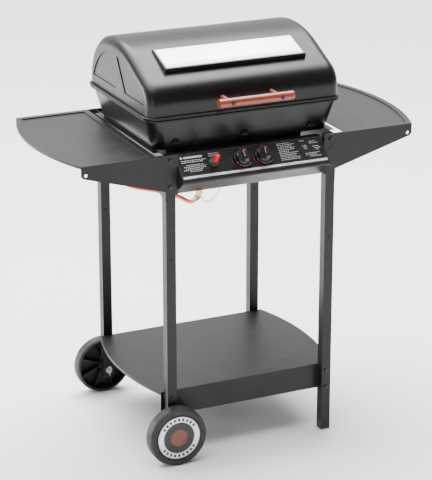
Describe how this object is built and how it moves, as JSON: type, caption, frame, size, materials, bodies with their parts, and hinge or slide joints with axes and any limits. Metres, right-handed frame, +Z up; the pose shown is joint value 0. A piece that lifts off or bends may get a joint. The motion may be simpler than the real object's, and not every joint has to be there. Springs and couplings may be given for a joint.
{
  "type": "gas barbecue grill",
  "caption": "Gas barbecue grill with hinged windowed lid, wooden handle and side tables on a wheeled trolley with a bottom shelf.",
  "frame": {"origin": "on the floor under the middle of the box round the whole part", "axes": "+X towards the right-hand side as seen from the front, -Y towards the front, +Z up"},
  "size_m": [0.9758, 0.538, 1.027],
  "materials": {
    "frame_enamel": "semi-gloss black enamel on folded steel sheet",
    "bright_steel": "zinc plated steel",
    "black_screws": "black screws",
    "hood_enamel": "satin black heat-proof enamel",
    "dark_enamel": "black enamel",
    "window_glass": "tempered glass that mirrors the pale surroundings",
    "wood": "reddish stained and lacquered turned wood",
    "black_plastic": "moulded black plastic",
    "badge_silver": "brushed silver foil",
    "badge_dark": "dark badge disc",
    "printed_plate": null,
    "red_plastic": "red igniter button",
    "grate_steel": "plated steel wire and tube",
    "lava_stone": "rough porous stone",
    "cup_aluminium": "plain aluminium",
    "brass": "plain brass",
    "ceramic": "white glazed ceramic",
    "orange_hose": "orange rubber gas hose",
    "grey_lead": "grey insulated lead"
  },
  "bodies": {
    "trolley": {"front_left_leg": "frame_enamel", "front_right_leg": "frame_enamel", "rear_left_leg": "frame_enamel", "rear_right_leg": "frame_enamel", "foot_caps": "black_plastic", "left_side_rail": "frame_enamel", "right_side_rail": "frame_enamel", "left_table": "frame_enamel", "right_table": "frame_enamel", "frame_bolts": "bright_steel", "bottom_shelf": "frame_enamel", "wheel_bolts": "bright_steel", "washers_and_pins": "bright_steel", "bowl": "hood_enamel", "grease_cup": "cup_aluminium", "cup_hanger": "bright_steel", "cooking_grate": "grate_steel", "lava_grate": "grate_steel", "lava_rocks": "lava_stone", "control_panel": "frame_enamel", "printed_plate": "printed_plate", "trim_strip": "badge_silver", "left_valve": "cup_aluminium", "right_valve": "cup_aluminium", "left_burner": "grate_steel", "right_burner": "grate_steel", "gas_manifold": "cup_aluminium", "hose_union": "brass", "hose_crimp": "bright_steel", "igniter_body": "black_plastic", "electrode": "ceramic", "gas_hose": "orange_hose", "hose_loop": "orange_hose", "hose_tail": "orange_hose", "hose_connector": "black_plastic", "hose_hook": "dark_enamel", "ignition_lead": "grey_lead", "bowl_hinge_brackets": "hood_enamel", "hinge_pins": "bright_steel"},
    "lid": {"lid": "hood_enamel", "window_frame": "dark_enamel", "window_glass": "window_glass", "handle_bar": "wood", "handle_spacers": "wood", "handle_screws": "black_screws", "lid_hinge_leaves": "hood_enamel"},
    "front_wheel": {"front_wheel": "black_plastic", "front_wheel_ring": "badge_silver", "front_hub_cap": "badge_dark"},
    "rear_wheel": {"rear_wheel": "black_plastic", "rear_wheel_ring": "badge_silver", "rear_hub_cap": "badge_dark"},
    "left_knob_slider": {"left_collar": "grate_steel"},
    "right_knob_slider": {"right_collar": "grate_steel"},
    "left_knob": {"left_knob": "black_plastic", "left_spindle": "grate_steel"},
    "right_knob": {"right_knob": "black_plastic", "right_spindle": "grate_steel"},
    "igniter_button": {"igniter_button": "red_plastic"}
  },
  "joints": [
    {"name": "lid_hinge", "type": "hinge", "parent": "trolley", "child": "lid", "pos_m": [0, 0.214, 0.881], "axis": [-1, 0, 0], "range_deg": [0, 95]},
    {"name": "front_wheel_roll", "type": "hinge", "parent": "trolley", "child": "front_wheel", "pos_m": [-0.2155, -0.2515, 0.075], "axis": [0, 1, 0], "continuous": true},
    {"name": "rear_wheel_roll", "type": "hinge", "parent": "trolley", "child": "rear_wheel", "pos_m": [-0.2155, 0.2515, 0.075], "axis": [0, 1, 0], "continuous": true},
    {"name": "left_knob_push", "type": "slide", "parent": "trolley", "child": "left_knob_slider", "axis": [0, 0.7071, -0.7071], "range_m": [0, 0.003], "stiffness_N_per_m": 800, "springref_m": -0.004},
    {"name": "left_knob_turn", "type": "hinge", "parent": "left_knob_slider", "child": "left_knob", "pos_m": [-0.0285, -0.23254, 0.76646], "axis": [0, -0.7071, 0.7071], "range_deg": [0, 180]},
    {"name": "right_knob_push", "type": "slide", "parent": "trolley", "child": "right_knob_slider", "axis": [0, 0.7071, -0.7071], "range_m": [0, 0.003], "stiffness_N_per_m": 800, "springref_m": -0.004},
    {"name": "right_knob_turn", "type": "hinge", "parent": "right_knob_slider", "child": "right_knob", "pos_m": [0.0285, -0.23254, 0.76646], "axis": [0, -0.7071, 0.7071], "range_deg": [0, 180]},
    {"name": "igniter_push", "type": "slide", "parent": "trolley", "child": "igniter_button", "axis": [0, 0.7071, -0.7071], "range_m": [0, 0.008], "stiffness_N_per_m": 600, "springref_m": -0.004}
  ]
}
